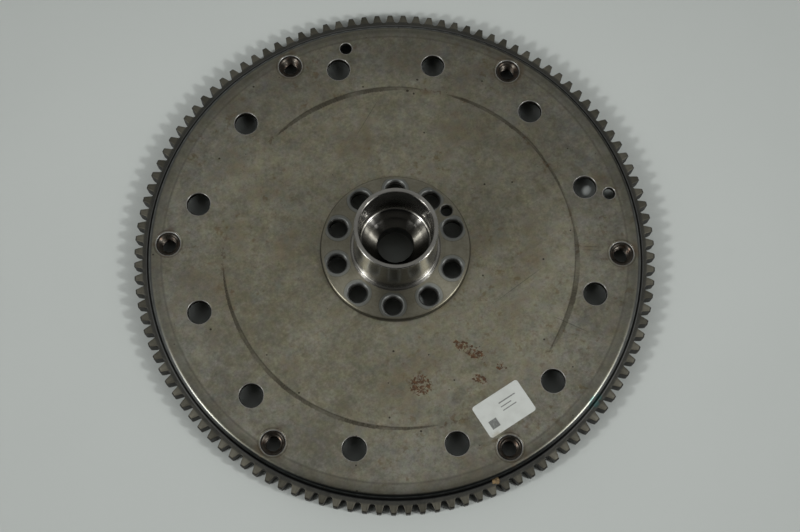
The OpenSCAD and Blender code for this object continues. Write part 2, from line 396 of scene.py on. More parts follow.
CELL_IN, CELL_OUT = 27.0, 41.0

flange_rim = rounded([
    (CELL_OUT, FLANGE_TOP, 0), (FLANGE_RADIUS - FLANGE_BREAK, FLANGE_TOP, 0.15),
    (FLANGE_RADIUS, FLANGE_TOP - FLANGE_BREAK, 0.15), (FLANGE_RADIUS, PLATE_TOP, 0.1),
    (CELL_OUT, PLATE_TOP, 0),
])
spigot = rounded([
    (CELL_IN, PLATE_TOP, 0), (REGISTER_RADIUS, PLATE_TOP, 0),
    (REGISTER_RADIUS, PLATE_UNDER + LOWER_BREAK, 0.1), (REGISTER_RADIUS - LOWER_BREAK, PLATE_UNDER, 0.1),
    (BORE_RADIUS + LOWER_BREAK, PLATE_UNDER, 0.1), (BORE_RADIUS, PLATE_UNDER + LOWER_BREAK, 0.1),
    (BORE_RADIUS, BORE_TOP, 0.25), (CONE_RADIUS, CONE_TOP, 0.5), (LEDGE_RADIUS, LEDGE_LOW, 0.15),
    (SOCKET_RADIUS, LEDGE_TOP, 1.6), (SOCKET_RADIUS, SPIGOT_TOP - SPIGOT_BREAK, 0.15),
    (SOCKET_RADIUS + SPIGOT_BREAK, SPIGOT_TOP, 0.15), (SPIGOT_RADIUS - SPIGOT_BREAK, SPIGOT_TOP, 0.2),
    (SPIGOT_RADIUS, SPIGOT_TOP - SPIGOT_BREAK, 0.2), (SPIGOT_FOOT, FLANGE_TOP, 1.0),
    (RELIEF_RADIUS - RELIEF_HALF, FLANGE_TOP, 0.08), (RELIEF_RADIUS, FLANGE_TOP - RELIEF_DEPTH, 0.1),
    (RELIEF_RADIUS + RELIEF_HALF, FLANGE_TOP, 0.08), (CELL_IN, FLANGE_TOP, 0),
], steps=6)
print("points on the profiles of flange and spigot:", len(flange_rim), len(spigot))

# %% Hub piece
NO_HOLE = 9.0
cell_radii = np.linspace(CELL_IN, CELL_OUT, 21)
hub_sheets = [
    Sheet(turned(profile, HUB_TURN), wrap_columns=True, gap=NO_HOLE) for profile in (flange_rim, spigot)
]
holes = [(BOLT_CIRCLE, a, BOLT_RADIUS, BOLT_SINK) for a in BOLT_ANGLES]
holes.insert(1, (DOWEL_CIRCLE, DOWEL_ANGLE, DOWEL_RADIUS, DOWEL_SINK))
for (radius, angle, r, sink), start, end in zip(holes, FLANGE_CELLS, FLANGE_CELLS[1:]):
    wall = rounded([
        (r, PLATE_TOP, 0), (r, FLANGE_TOP - sink, 0.12), (r + sink, FLANGE_TOP, 0.12),
        (r + sink + 0.13, FLANGE_TOP, 0),
    ], steps=2)
    rows = hole_rows(wall, FACE_SHARE)
    border = cell_border(CELL_IN, CELL_OUT, start, end, cell_radii, 1.0)
    points, gap = holed_cell(border, polar(radius, angle), rows)
    edge = edge_mark(rows, FLANGE_TOP - sink - 0.1, FLANGE_TOP)
    gap = gap if r == BOLT_RADIUS else NO_HOLE
    hub_sheets.append(Sheet(points, wrap_columns=True, gap=gap, edge=edge))
hub = make_piece("hub_turning", hub_sheets, marks=["gap", "edge"], replaced="hub")

# %% [markdown]
# ## The drive plate
# The plate is pressed from sheet: a flat disc whose rim is bent down inside the ring gear.
# Its holes are cells as in the hub, laid out between two circles of borders so that
# neighbouring cells share their points. Round each nut the sheet was struck flat, which
# leaves a shallow ring, and near the rim the press left a thin line that stops at the nuts.

# %% Plate sizes
RIM_RADIUS, RIM_BEND, RIM_INSIDE, RIM_LOW = 140.505, 3.0, 137.505, 2.0
FLAT_OUT, FIELD_OUT, REGISTER_HOLE = 137.45, 104.0, 22.05
PAIR_CIRCLE, PAIR_RADIUS, HOLE_EDGE = 116.005, 6.6, 0.4
NUT_CIRCLE, NUT_HOLE, NUT_SPOT, SPOT_DEPTH = 129.205, 6.8, 8.1, 0.2
PICKUP_CIRCLE, PICKUP_RADIUS, PICKUP_ANGLES = 128.205, 3.4, (16.4, 104.4)
LINE_RADIUS, LINE_HALF, LINE_DEPTH = 132.805, 0.55, 0.05
NUT_IN, BELT, PICKUP_OUT = 119.5, 123.7, 132.2

zone_radii = np.concatenate([
    np.linspace(FIELD_OUT, NUT_IN, 10), np.linspace(NUT_IN, BELT, 4)[1:],
    np.linspace(BELT, PICKUP_OUT, 8)[1:],
    [LINE_RADIUS - LINE_HALF, LINE_RADIUS, LINE_RADIUS + LINE_HALF, 134.2, 135.3, 136.4, FLAT_OUT],
])
print("circles of borders between the plate's cells:", len(zone_radii))


# %% Plate cells
def pressed_line(points):
    """Lowers points on the pressing line: a V of the line's depth at its radius."""
    off = np.abs(np.hypot(points[..., 0], points[..., 1]) - LINE_RADIUS)
    points[..., 2] -= LINE_DEPTH * np.clip(1 - off / LINE_HALF, 0, 1)
    return points


def plate_cell(inner, outer, start, end):
    """Upper and lower face of a cell without a hole."""
    radii = zone_radii[(zone_radii >= inner - 1e-6) & (zone_radii <= outer + 1e-6)]
    return [
        Sheet(pressed_line(plain_cell(radii, start, end, PLATE_TOP))),
        Sheet(plain_cell(radii, start, end, PLATE_UNDER)),
    ]


def plate_hole(inner, outer, start, end, radius, angle, wall, radii, share=FACE_SHARE, lined=False):
    """Both faces of a cell and the wall of its hole."""
    rows = hole_rows(wall, share)
    border = cell_border(inner, outer, start, end, radii)
    points, _ = holed_cell(border, polar(radius, angle), rows)
    if lined:
        points[-1] = pressed_line(points[-1])
    on_edge = edge_mark(rows, PLATE_TOP - SPOT_DEPTH - HOLE_EDGE - 0.05, PLATE_TOP)
    edge = on_edge * (rows[:, :1] < wall[0, 0] + HOLE_EDGE + 0.02)
    return Sheet(points, wrap_columns=True, edge=edge)


print("plate cells ready")


# %% Plate profiles
def broken_hole(r, edge):
    """Wall of a plain hole with its upper edge broken."""
    return rounded([
        (r + 0.1, PLATE_UNDER, 0), (r, PLATE_UNDER + 0.1, 0), (r, PLATE_TOP - edge, 0.1),
        (r + edge, PLATE_TOP, 0.1), (r + edge + 0.12, PLATE_TOP, 0),
    ], steps=2)


nut_wall = rounded([
    (NUT_HOLE, PLATE_UNDER, 0), (NUT_HOLE, PLATE_TOP - SPOT_DEPTH - HOLE_EDGE, 0.1),
    (NUT_HOLE + HOLE_EDGE, PLATE_TOP - SPOT_DEPTH, 0.1), (NUT_SPOT - 0.15, PLATE_TOP - SPOT_DEPTH, 0.08),
    (NUT_SPOT, PLATE_TOP, 0),
], steps=2)
pair_wall = broken_hole(PAIR_RADIUS, HOLE_EDGE)
pickup_wall = broken_hole(PICKUP_RADIUS, HOLE_EDGE)

bend = np.radians(np.linspace(90, 0, 15))
rim = np.concatenate([
    [(FLAT_OUT, PLATE_TOP)],
    np.stack([RIM_INSIDE + RIM_BEND * np.cos(bend), PLATE_UNDER + RIM_BEND * np.sin(bend)], -1),
    rounded([
        (RIM_RADIUS, RIM_LOW, 0.4), (RIM_INSIDE, RIM_LOW, 0.4), (RIM_INSIDE, PLATE_UNDER, 0.05),
        (FLAT_OUT, PLATE_UNDER, 0),
    ])[:-1],
    [(FLAT_OUT, PLATE_UNDER)],
])
middle_radii = np.array([REGISTER_HOLE, 24.5, CELL_IN])
field_radii = np.array([CELL_OUT, 43, 60, 80, FIELD_OUT])
bore = np.array([(REGISTER_HOLE, PLATE_UNDER), (REGISTER_HOLE, PLATE_TOP)])
print("points on the rim's profile:", len(rim))

# %% Plate piece
SIXTH, HALF_CELL = 60, 5
PAIR_TURNS, PLAIN_TURNS = (20, 48), ((5, 15), (25, 43), (53, 55))
HIDDEN_SHARE = np.array([0, 0.4, 1.0])
plate_profiles = [rim, bore]
for radii in (middle_radii, field_radii):
    plate_profiles += [np.stack([radii, np.full(len(radii), z)], -1) for z in (PLATE_TOP, PLATE_UNDER)]
plate_sheets = [Sheet(turned(profile), wrap_columns=True) for profile in plate_profiles]
for (radius, angle, r, _), start, end in zip(holes, FLANGE_CELLS, FLANGE_CELLS[1:]):
    wall = np.array([(r, PLATE_UNDER), (r, PLATE_TOP)])
    plate_sheets.append(plate_hole(
        CELL_IN, CELL_OUT, start, end, radius, angle, wall, cell_radii, share=HIDDEN_SHARE))
for a in range(0, 360, SIXTH):
    first, last = a + HALF_CELL, a + SIXTH - HALF_CELL
    plate_sheets.append(plate_hole(
        NUT_IN, FLAT_OUT, a - HALF_CELL, first, NUT_CIRCLE, a, nut_wall, zone_radii, lined=True))
    plate_sheets += plate_cell(FIELD_OUT, NUT_IN, a - HALF_CELL, first)
    for middle in (a + pair_turn for pair_turn in PAIR_TURNS):
        plate_sheets.append(plate_hole(
            FIELD_OUT, BELT, middle - HALF_CELL, middle + HALF_CELL, PAIR_CIRCLE, middle,
            pair_wall, zone_radii))
    for start, end in PLAIN_TURNS:
        plate_sheets += plate_cell(FIELD_OUT, BELT, a + start, a + end)
    pickup = [p for p in PICKUP_ANGLES if a < p < a + SIXTH]
    if pickup:
        low = math.floor(pickup[0] * 2) / 2 - 3
        high = low + 6.5
        plate_sheets.append(plate_hole(
            BELT, PICKUP_OUT, low, high, PICKUP_CIRCLE, pickup[0], pickup_wall, zone_radii))
        plate_sheets += plate_cell(PICKUP_OUT, FLAT_OUT, low, high)
        plate_sheets += plate_cell(BELT, FLAT_OUT, first, low)
        plate_sheets += plate_cell(BELT, FLAT_OUT, high, last)
    else:
        plate_sheets += plate_cell(BELT, FLAT_OUT, first, last)
plate = make_piece("plate_pressing", plate_sheets, marks=["edge"], replaced="drive_plate")

# %% [markdown]
# ## The starter ring
# A gear is one tooth repeated. The outline of a tooth is given by an involute, the curve that
# the end of a taut string draws as it unwinds from a drum, and it ends in a round root. The
# outline is repeated 117 times and carried down the ring's width. Near the top and the bottom
# it is drawn in a little, which rounds the edges, and its radius is held under the slope of
# the chamfer that was turned on the blank before the teeth were cut. Beside the bore a low lip
# stands on the upper face, where the ring was shrunk on: it catches a thin line of light.

# %% Tooth outline
TEETH, MODULE, PRESSURE = 117, 2.5, math.radians(17.5)
RING_WIDTH, RING_BORE, TIP_CHAMFER, BORE_CHAMFER = 10.0, 140.525, 0.8, 1.0
DEDENDUM, ROOT_ROUND = 1.05 * MODULE, 0.3 * MODULE
pitch_radius = TEETH * MODULE / 2
tip_radius, root_radius = pitch_radius + MODULE, pitch_radius - DEDENDUM
base_radius = pitch_radius * math.cos(PRESSURE)
half_pitch = math.pi / TEETH


def half_tooth(r):
    """Half the angle of a tooth at radius r: a quarter pitch, less the involute's growth."""
    lean = np.arccos(np.minimum(1, base_radius / r))
    return half_pitch / 2 + (math.tan(PRESSURE) - PRESSURE) - (np.tan(lean) - lean)


flank_low = root_radius + ROOT_ROUND
flank = np.concatenate([
    np.linspace(flank_low, tip_radius - TIP_CHAMFER, 6), [tip_radius - 0.45, tip_radius - 0.15, tip_radius],
])
mouth = half_pitch - half_tooth(np.array(flank_low))
sag = flank_low * math.cos(mouth) - root_radius
rise = flank_low * math.sin(mouth)
root_arc = (rise ** 2 + sag ** 2) / (2 * sag)
swing = np.linspace(0, math.asin(rise / root_arc), 5)[:-1]
root_x = root_radius + root_arc * (1 - np.cos(swing))
root_y = root_arc * np.sin(swing)
tip_turn = np.linspace(-half_tooth(np.array(tip_radius)), 0, 3)[1:]
half_radius = np.concatenate([np.hypot(root_x, root_y), flank, np.full(2, tip_radius)])
half_angle = np.concatenate([
    np.arctan2(root_y, root_x) - half_pitch, -half_tooth(flank), tip_turn,
])
tooth_radius = np.concatenate([half_radius, half_radius[-2:0:-1]])
tooth_angle = np.concatenate([half_angle, -half_angle[-2:0:-1]])
each = np.arange(TEETH)
outline_radius = np.tile(tooth_radius, TEETH)
outline_angle = (tooth_angle[None, :] + each[:, None] * 2 * half_pitch).reshape(-1)
outline = np.stack([outline_radius * np.cos(outline_angle), outline_radius * np.sin(outline_angle)], -1)
along = np.roll(outline, -1, 0) - np.roll(outline, 1, 0)
along /= np.linalg.norm(along, axis=1, keepdims=True)
outward = np.stack([along[:, 1], -along[:, 0]], -1)
print("points on the outline:", len(outline), "tip radius:", tip_radius)


# %% Ring gear
def ring_row(height, inset, limit):
    """The outline drawn in by inset and held inside radius limit, at one height."""
    place = outline - outward * inset
    radius = np.linalg.norm(place, axis=1)
    place = place * (np.minimum(radius, limit) / radius)[:, None]
    return np.concatenate([place, np.full((len(place), 1), height)], -1)


def ring_circle(height, radius):
    """A circle with a point at the angle of every outline point."""
    place = outline / np.linalg.norm(outline, axis=1, keepdims=True) * radius
    return np.concatenate([place, np.full((len(place), 1), height)], -1)


chamfer_in = tip_radius - TIP_CHAMFER
EDGE_ROUND = ((0.0, 0.3), (0.04, 0.16), (0.13, 0.05), (0.3, 0.0))
LIP_HEIGHT, LIP_FOOT, LIP_FOOT_DROP = 0.17, 141.3, 0.08
LIP = ((141.5, 0.9), (141.62, 1.0), (141.95, 0.12), (142.3, 0.0))
FACE_ROWS = slice(2, 8)


def ring_face(lip_height):
    """Rows of one face, from the bore over a raised lip to the tips of the teeth."""
    rows = [ring_circle(RING_WIDTH - BORE_CHAMFER, RING_BORE)]
    rows.append(ring_circle(RING_WIDTH - LIP_FOOT_DROP, LIP_FOOT))
    rows += [ring_circle(RING_WIDTH + lip_height * share, radius) for radius, share in LIP]
    for drop, inset in EDGE_ROUND:
        rows.append(ring_row(RING_WIDTH - drop, inset, chamfer_in + drop - inset * 0.3))
    return rows + [ring_row(RING_WIDTH - TIP_CHAMFER, 0, tip_radius)]


lower = [row * (1, 1, -1) + (0, 0, RING_WIDTH) for row in ring_face(0.0)[::-1]]
ring_points = np.stack(ring_face(LIP_HEIGHT) + lower)
rng = np.random.default_rng(7)
tooth_tone = np.repeat(rng.uniform(0, 1, TEETH), len(tooth_radius))
top_mark = np.zeros(len(ring_points))
top_mark[FACE_ROWS] = 1
starter_ring = make_piece(
    "starter_ring",
    [Sheet(ring_points, True, True, tone=tooth_tone[None, :], face=top_mark[:, None])],
    marks=["tone", "face"], crease=38, replaced="ring_gear",
)

# %% [markdown]
# ## The nuts
# Six nuts are pressed into the plate from below. The camera sees their collars and the turns
# of the thread inside. A thread is a helix: the wall's radius depends on height and angle
# together, so that one turn round the axis climbs one pitch. Rows of the grid go round the
# whole section, from the hexagon's foot over the collar and down the thread.

# %% Nuts
NUT_LOW, COLLAR_TOP, COLLAR_RADIUS, NUT_FLATS = 3.0, 12.1, 6.7, 15.5
THREAD_RADIUS, THREAD_DEPTH, THREAD_PITCH, NUT_SINK = 5.0, 0.85, 1.5, 0.9
nut_angle = np.radians(np.arange(0, 360, 3.0))
corner_limit = NUT_FLATS / math.cos(math.radians(30)) / 2 - 0.45
from_flat = (nut_angle + math.radians(30)) % math.radians(60) - math.radians(30)
hexagon = np.minimum(NUT_FLATS / 2 / np.cos(from_flat), corner_limit)
thread_low, thread_high = NUT_LOW + NUT_SINK, COLLAR_TOP - NUT_SINK
thread_z = np.linspace(thread_high, thread_low, 58)


def nut_row(radius, height):
    """One row round the nut's own axis."""
    x, y = radius * np.cos(nut_angle), radius * np.sin(nut_angle)
    return np.stack([x, y, np.full(len(nut_angle), height)], -1)


def thread_radius(z):
    """Thread wall: a wave of height z and angle that climbs one pitch a turn, flat at its ends."""
    phase = (z / THREAD_PITCH - nut_angle / (2 * math.pi)) % 1.0
    ridge = np.clip(1.6 * (1 - np.abs(2 * phase - 1)) - 0.2, 0, 1)
    fade = np.clip(min(thread_high - z, z - thread_low) / 0.6, 0, 1)
    return THREAD_RADIUS - THREAD_DEPTH * ridge * fade


sink_radius = THREAD_RADIUS + NUT_SINK
nut_profile = [
    (sink_radius, NUT_LOW), (hexagon - 0.7, NUT_LOW), (hexagon, NUT_LOW + 0.5),
    (hexagon, PLATE_UNDER - 0.1), (hexagon - 0.1, PLATE_UNDER), (COLLAR_RADIUS, PLATE_UNDER),
    (COLLAR_RADIUS, COLLAR_TOP - 0.25), (COLLAR_RADIUS - 0.08, COLLAR_TOP - 0.07),
    (COLLAR_RADIUS - 0.25, COLLAR_TOP), (sink_radius + 0.1, COLLAR_TOP),
    (sink_radius - 0.08, COLLAR_TOP - 0.07),
]
nut_profile += [(thread_radius(z), z) for z in thread_z]
one_nut = np.stack([nut_row(radius, height) for radius, height in nut_profile]) + (NUT_CIRCLE, 0, 0)
nut_sheets = [Sheet(spun(one_nut, math.radians(a)), True, True) for a in range(0, 360, SIXTH)]
nuts = make_piece("thread_nuts", nut_sheets, replaced="converter_nuts")

# %% [markdown]
# ## The paper label
# A white adhesive label lies on the plate near one nut. Its outline is a rectangle with round
# corners, and rows run from its middle to its edge and down to the plate. A flat square would
# look painted on: the paper is a tenth of a millimetre thick and lifts a little at one corner,
# so that its edge throws a fine shadow.

# %% Label
LABEL_PLACE, LABEL_DEGREES = (61.4, -90.7), 34
LABEL_HALF, LABEL_CORNER, PAPER, GLUE = np.array([15.0, 10.0]), 1.6, 0.12, 0.01
CORNER_LIFT, LIFT_START, LIFT_LENGTH = 0.35, 12, 5
quarter = np.linspace(0, 90, 7)
corner_signs = np.array([(1, 1), (-1, 1), (-1, -1), (1, -1)])
corners = corner_signs * (LABEL_HALF - LABEL_CORNER)
label_outline = np.concatenate([
    corner + polar(LABEL_CORNER, quarter + 90 * i) for i, corner in enumerate(corners)
])
sides = [np.linspace(p, q, 7)[:-1] for p, q in zip(label_outline, np.roll(label_outline, -1, 0))]
label_outline = np.concatenate(sides)


def label_row(share, height):
    """The outline shrunk towards the middle, at a height that grows where a corner lifts."""
    flat = label_outline * share
    lift = CORNER_LIFT * np.clip((flat @ (0.6, 0.8) - LIFT_START) / LIFT_LENGTH, 0, 1) ** 2
    return np.concatenate([flat, (PLATE_TOP + height + lift)[:, None]], -1)


paper_rows = [label_row(s, PAPER) for s in (0, 0.25, 0.5, 0.7, 0.85, 0.95, 0.99)]
paper_rows += [label_row(1, PAPER - 0.03), label_row(1, GLUE), label_row(0.9, GLUE), label_row(0, GLUE)]
label_points = spun(np.stack(paper_rows), math.radians(LABEL_DEGREES)) + (*LABEL_PLACE, 0)
label = make_piece("paper_label", [Sheet(label_points, wrap_columns=True)])

# %% [markdown]
# ## A flake of rust
# At the front a crumb of orange rust is stuck in the seam between plate and ring. It could be a
# spot of colour, but it stands proud and catches light. It is a flattened ball whose radius is
# made uneven by a few waves round it, half sunk in the seam.

# %% Rust flake
FLAKE_RADIUS, FLAKE_ANGLE, FLAKE_HEIGHT = 141.8, -66.2, 10.0
FLAKE_HALF = np.array([1.8, 2.1, 1.0])
rise_angle = np.radians(np.linspace(90, -90, 15))[:, None]
round_angle = np.radians(np.arange(0, 360, 12.0))[None, :]
uneven = 1 + 0.16 * np.sin(3 * round_angle + 2 * rise_angle) * np.cos(rise_angle)
uneven = uneven + 0.10 * np.sin(5 * round_angle - 3 * rise_angle + 1) * np.cos(rise_angle)
ball = np.stack([
    np.cos(rise_angle) * np.cos(round_angle), np.cos(rise_angle) * np.sin(round_angle),
    np.broadcast_to(np.sin(rise_angle), uneven.shape),
], -1)
flake_points = ball * uneven[..., None] * FLAKE_HALF + (FLAKE_RADIUS, 0, FLAKE_HEIGHT)
flake_points = spun(flake_points, math.radians(FLAKE_ANGLE))
flake = make_piece("rust_flake", [Sheet(flake_points, wrap_columns=True)])

# %% [markdown]
# ## The floor
# The part lies on a pale sheet. One large flat surface is enough, because only light and shadow
# give it form.

# %% Floor
FLOOR_HALF = 12.0
floor_corners = [(-FLOOR_HALF, -FLOOR_HALF, 0), (FLOOR_HALF, -FLOOR_HALF, 0)]
floor_corners += [(FLOOR_HALF, FLOOR_HALF, 0), (-FLOOR_HALF, FLOOR_HALF, 0)]
floor_mesh = bpy.data.meshes.new("floor")
floor_mesh.from_pydata(floor_corners, [], [(0, 1, 2, 3)])
floor = bpy.data.objects.new("floor", floor_mesh)
bpy.context.collection.objects.link(floor)
print("floor laid")

# %% [markdown]
# ## Finishes
# A procedural material mixes patterns worked out from each point's place on the part. Every
# finish below starts the same way: a Principled shader, the place in millimetres, and the
# distance from the axis, because the part was pressed and turned about that axis. Painted
# pictures could do it too, but a formula stays sharp at any distance and needs no seams.

# %% Finish helper
FLAT = 1e6


class Finish:
    """A material with one shader, and the fields that its patterns are made from."""

    def __init__(self, name):
        self.material = bpy.data.materials.new(name)
        self.material.use_nodes = True
        self.tree = self.material.node_tree
        self.tree.nodes.clear()
        self.shader = add(self.tree, "ShaderNodeBsdfPrincipled")
        add(self.tree, "ShaderNodeOutputMaterial", {"Surface": self.shader.outputs[0]})
        place = add(self.tree, "ShaderNodeTexCoord").outputs["Object"]
        self.place = self.vector("SCALE", {0: place, "Scale": 1 / MM})
        axes = add(self.tree, "ShaderNodeSeparateXYZ", {0: self.place}).outputs
        self.x, self.y, self.z = (Field(self.tree, axis) for axis in axes)
        self.radius = self.reach((0, 0))
        self.angle = self.y.math("ARCTAN2", self.x)

    def vector(self, operation, inputs):
        """One Vector Math node."""
        return add(self.tree, "ShaderNodeVectorMath", inputs, operation=operation).outputs[0]

    def reach(self, centre):
        """Distance from an upright line through centre: the root of dx squared plus dy squared."""
        dx, dy = self.x - centre[0], self.y - centre[1]
        return (dx * dx + dy * dy).math("SQRT")

    def local(self, centre, size, lean):
        """The place measured from centre, turned by lean degrees and divided by a size per axis."""
        return add(self.tree, "ShaderNodeMapping", {
            "Vector": self.place, "Location": (*centre, 0), "Rotation": (0, 0, math.radians(lean)),
            "Scale": (*size, FLAT),
        }, vector_type="TEXTURE").outputs[0]

    def noise(self, size, detail=3.0, roughness=0.55, place=None):
        """Cloudy pattern from 0 to 1 whose largest features are about size millimetres wide."""
        made = add(self.tree, "ShaderNodeTexNoise", {
            "Vector": self.place if place is None else place,
            "Scale": 1 / size, "Detail": detail, "Roughness": roughness,
        })
        return Field(self.tree, made.outputs[0])

    def streaks(self, width, length, lean):
        """Noise drawn out to streaks of a length, which lean by degrees."""
        return self.noise(width, 3, 0.6, self.local((0, 0), (length / width, 1), lean))

    def mark(self, name):
        """Reads a mark that the piece's points carry."""
        return Field(self.tree, add(self.tree, "ShaderNodeAttribute", attribute_name=name).outputs["Fac"])

    def spot(self, centre, half, lean=0.0):
        """1 in the middle of an ellipse and 0 at its edge; half gives its two half widths."""
        local = self.local(centre, half, lean)
        made = add(self.tree, "ShaderNodeVectorMath", {0: local}, operation="LENGTH")
        return Field(self.tree, made.outputs["Value"]).ramp(1.0, 0.0)

    def spots(self, places):
        """The strongest of several spots at each point."""
        return functools.reduce(Field.most, [self.spot(*place) for place in places])

    def shade(self, colour, field):
        """A colour made lighter or darker by a field."""
        return self.vector("SCALE", {0: colour, "Scale": field})

    def feed(self, socket, value):
        """Links a field or a colour to one of the shader's sockets."""
        self.tree.links.new(getattr(value, "socket", value), self.shader.inputs[socket])

    def bump(self, height, depth, strength):
        """Small relief: depth in millimetres for a height that goes from 0 to 1."""
        inputs = {"Strength": strength, "Distance": depth * MM, "Height": height}
        self.feed("Normal", add(self.tree, "ShaderNodeBump", inputs).outputs[0])

    def dress(self, piece):
        """Puts the finished material on a piece."""
        piece.data.materials.append(self.material)
        print(self.material.name, "on", piece.name, "with", len(self.tree.nodes), "nodes")


# %% [markdown]
# ### Floor sheet
# The sheet is matt and pale grey with a breath of green, and a soft cloudiness keeps it from
# looking like a painted wall. Falloff of light is painted on: it darkens a little towards its
# far parts and is a little lighter at the back.

# %% Floor finish
sheet = Finish("pale_sheet")
pale = sheet.noise(120, 4).blend((0.598, 0.637, 0.611, 1), (0.642, 0.681, 0.655, 1))
# Painted light: darker far from the part and lighter towards the back.
painted_falloff = sheet.radius.ramp(160, 330, 1.0, 0.90) * sheet.y.ramp(-150, 170, 0.97, 1.06)
sheet.feed("Base Color", sheet.shade(pale, painted_falloff))
sheet.shader.inputs["Roughness"].default_value = 0.75
sheet.dress(floor)

# %% [markdown]
# ### Plate steel: the sheet itself
# The plate is used sheet steel. Its grey-brown tone drifts in clouds, with warm stains, cleaner
# grey patches and scattered ochre blotches. A plain grey would look like card: it is the small
# unevenness at several scales that reads as old metal. So one cell chooses the colours, and the
# next makes them lighter and darker, warmer and cooler, with faint lines from the mill. It also
# paints light on, the front lighter and the back darker, and it darkens the sheet towards the
# rim, on the right and in one patch at the back right.

# %% Plate finish, clouds and stains
steel = Finish("plate_steel")
broad, cloud, grain = steel.noise(60), steel.noise(12, 5, 0.62), steel.noise(1.5, 2)
mottle = steel.noise(3, 4, 0.65)
tone = broad * 0.42 + cloud * 0.42 + grain * 0.16
colour = tone.ramp(0.35, 0.65).blend((0.226, 0.213, 0.153, 1), (0.350, 0.335, 0.255, 1))
stain = steel.noise(24, 4, 0.6).ramp(0.52, 0.68)
colour = (stain * 0.6).blend(colour, (0.215, 0.183, 0.122, 1))
clean = steel.noise(17, 5, 0.66).ramp(0.54, 0.68)
colour = (clean * 0.4).blend(colour, (0.225, 0.235, 0.205, 1))

STAINS = (
    ((111, 2.6), (7, 6)), ((84, -4.4), (6, 5)), ((122, -45.7), (6, 4)), ((119, 46), (12, 9)),
    ((10.4, 111), (5, 8)), ((-15, 66), (6, 5)), ((65, 64), (13, 9)), ((40, 107), (11, 9)),
    ((-44, 73), (5, 5)), ((-91, 90), (4, 3)), ((16, 97), (6, 3)),
)
blotch = steel.noise(5, 3, 0.6).ramp(0.58, 0.70) * steel.noise(40, 2).ramp(0.48, 0.60)
freckle = steel.noise(2.4, 4, 0.7).ramp(0.55, 0.70) * steel.noise(33, 3).ramp(0.40, 0.60)
ochre = blotch.most(steel.spots(STAINS) * cloud.ramp(0.38, 0.62)).most(freckle * 0.7)
colour = (ochre * 0.6).blend(colour, (0.185, 0.135, 0.072, 1))
print("sheet: clouds, clean patches and", len(STAINS), "larger stains")

# %% Plate finish, unevenness
MILL_WIDTH, MILL_LENGTH, MILL_LEAN = 0.9, 45, 32
mill = steel.streaks(MILL_WIDTH, MILL_LENGTH, MILL_LEAN).ramp(0.3, 0.7, 0.955, 1.045, smooth=False)
uneven_tone = mill * mottle.ramp(0.25, 0.75, 0.89, 1.11, smooth=False)
uneven_tone = uneven_tone * steel.noise(0.9, 2).ramp(0.3, 0.7, 0.94, 1.06, smooth=False)
uneven_tone = uneven_tone * steel.noise(6.5, 3).ramp(0.3, 0.7, 0.92, 1.08, smooth=False)
far_side = steel.spot((60, 58), (85, 62), -45).ramp(0.0, 1.0, 1.0, 0.87, smooth=False)
far_side = far_side * steel.x.ramp(-100, 100, 1.04, 0.965, smooth=False)
# Painted light: the y ramp makes the front lighter and the back darker. far_side and the radius ramp darken
# the back right, the right side and the ring towards the rim.
shading = far_side * steel.radius.ramp(95, 131, 1.0, 0.85) * steel.y.ramp(-120, 120, 1.38, 1.07, smooth=False)
colour = steel.shade(colour, uneven_tone * shading)
tints = (
    steel.noise(7, 3).ramp(0.35, 0.65).blend((1.016, 1.003, 0.952, 1), (0.984, 0.997, 1.048, 1)),
    steel.noise(4.5, 3).ramp(0.35, 0.65).blend((0.984, 1.017, 0.984, 1), (1.016, 0.983, 1.016, 1)),
    steel.radius.ramp(92, 124).blend((1, 1, 1, 1), (0.985, 1.0, 1.07, 1)),
)
for tint in tints:
    colour = steel.vector("MULTIPLY", {0: colour, 1: tint})
print("sheet: mill lines, shading and", len(tints), "tints")

# %% [markdown]
# ### Plate steel: the pressed edge
# Outside the pressing line the sheet was clamped and is greyer. Over the bend it was drawn
# smooth, and old oil lies on it: brown at the back right and a grey film at the sides, while at
# the front the bend is painted black, as shade and the dark room's reflection. Just inside the
# bend the front and the back are painted darker, as shade where the sheet starts to turn down.
# The radius says how far over the bend a point is. The sine and cosine of its angle, which are
# y and x divided by the radius, say which colour it carries, with no seam where the angle
# starts again.

# %% Plate finish, pressed edge
DRAWN_STRETCH = 9.0
GREY_OIL = (0.150, 0.155, 0.150, 1)
# The black at the front is painted shade and dark reflection.
BLACK_FRONT_SHADE = (0.016, 0.019, 0.020, 1)
BROWN_OIL = (0.045, 0.041, 0.032, 1)
band = steel.radius.ramp(LINE_RADIUS - 1.5, LINE_RADIUS + 3.0)
cosine, sine = (axis.math("DIVIDE", steel.radius) for axis in (steel.x, steel.y))
round_place = add(steel.tree, "ShaderNodeCombineXYZ", {
    0: steel.radius, 1: cosine * DRAWN_STRETCH, 2: sine * DRAWN_STRETCH,
})
drawn = steel.noise(0.9, 3, 0.6, round_place.outputs[0]).ramp(0.3, 0.7, 0.93, 1.07, smooth=False)
colour = (band * 0.5).blend(colour, steel.shade((0.150, 0.148, 0.118), drawn))
line = abs(steel.radius - LINE_RADIUS).ramp(1.1, 0.0) * cloud.ramp(0.3, 0.6, 0.5, 1.0)
colour = (line * 0.4).blend(colour, (0.085, 0.080, 0.066, 1))
